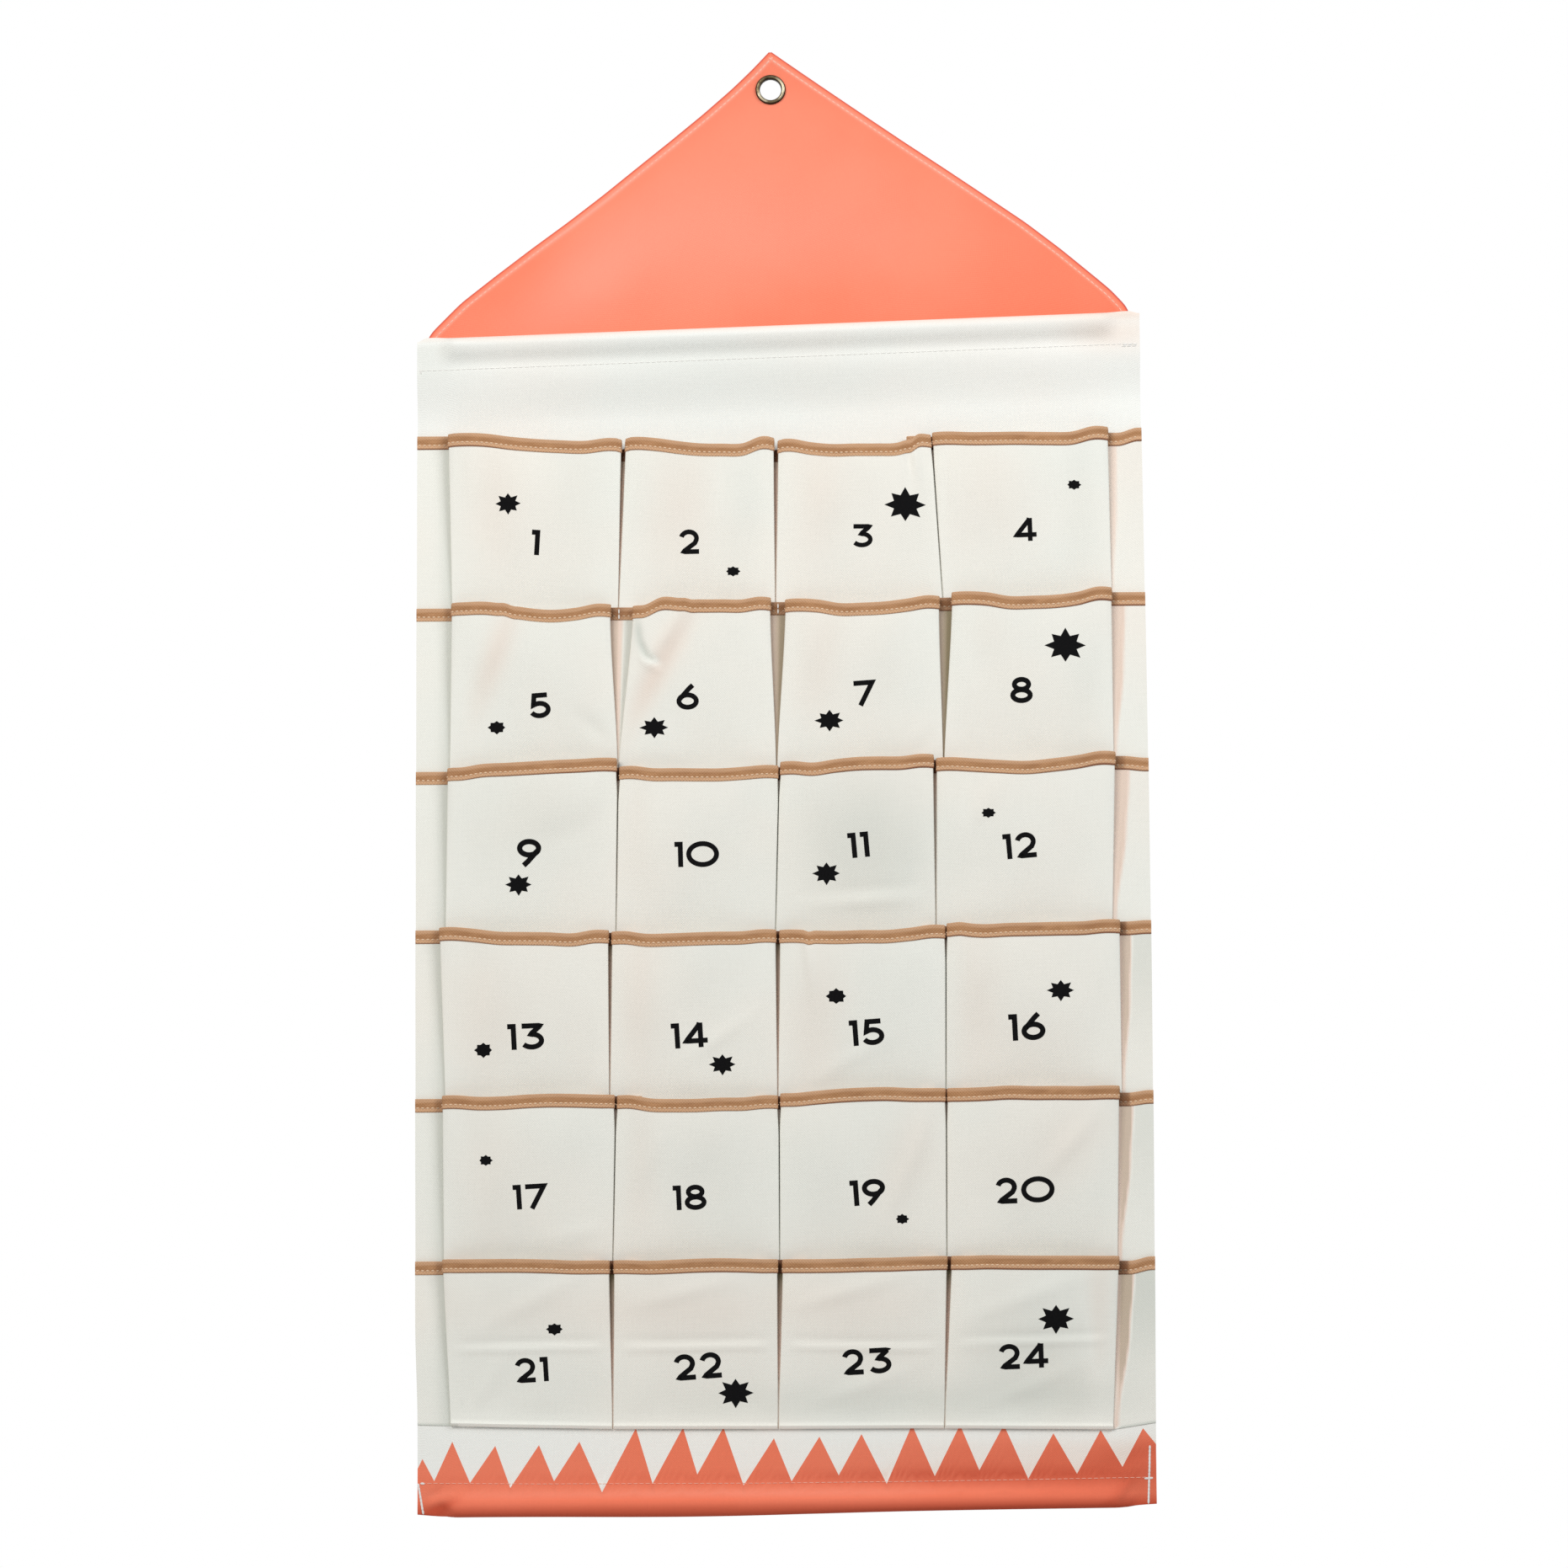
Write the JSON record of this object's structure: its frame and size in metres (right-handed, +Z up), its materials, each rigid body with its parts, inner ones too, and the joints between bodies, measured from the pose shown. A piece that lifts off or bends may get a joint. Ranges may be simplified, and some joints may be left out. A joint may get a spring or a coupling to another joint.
{
  "type": "fabric advent calendar",
  "caption": "House-shaped fabric advent calendar: a coral gable with a brass eyelet over a white canvas panel of pleated, numbered pockets bound with brown tape, kept flat by wooden rods.",
  "frame": {"origin": "middle of the eyelet's hole, in the plane of the wall", "axes": "+Z up, +X to the viewer's right, the front faces -Y and the wall is the plane y = 0"},
  "size_m": [0.452, 0.0161, 0.9099],
  "materials": {
    "white_canvas": "matt woven cotton canvas, off-white",
    "coral_canvas": "matt woven cotton canvas, coral",
    "brown_tape": "matt woven binding tape, light brown, pale stitching",
    "brass": "antique brass, dark in its hollows",
    "wood": "plain pale dowel, unfinished"
  },
  "bodies": {
    "roof": {"roof_panel": "coral_canvas", "eyelet": "brass", "eyelet_washer": "brass"},
    "hanging": {"back_panel": "white_canvas", "pocket_row_1": "white_canvas", "pocket_row_2": "white_canvas", "pocket_row_3": "white_canvas", "pocket_row_4": "white_canvas", "pocket_row_5": "white_canvas", "pocket_row_6": "white_canvas", "binding_1": "brown_tape", "binding_2": "brown_tape", "binding_3": "brown_tape", "binding_4": "brown_tape", "binding_5": "brown_tape", "binding_6": "brown_tape"},
    "upper_rod": {"top_rod": "wood"},
    "lower_rod": {"bottom_rod": "wood"}
  },
  "joints": [
    {"name": "roof_fold", "type": "hinge", "parent": "roof", "child": "hanging", "pos_m": [0.004, -0.0012, -0.1568], "axis": [0.9995, 0, 0.0325], "range_deg": [-15, 170]},
    {"name": "top_rod_slide", "type": "slide", "parent": "hanging", "child": "upper_rod", "axis": [0.9995, 0, 0.0325], "range_m": [0, 0.43]},
    {"name": "bottom_rod_slide", "type": "slide", "parent": "hanging", "child": "lower_rod", "axis": [1, 0, 0.0075], "range_m": [0, 0.43]}
  ]
}
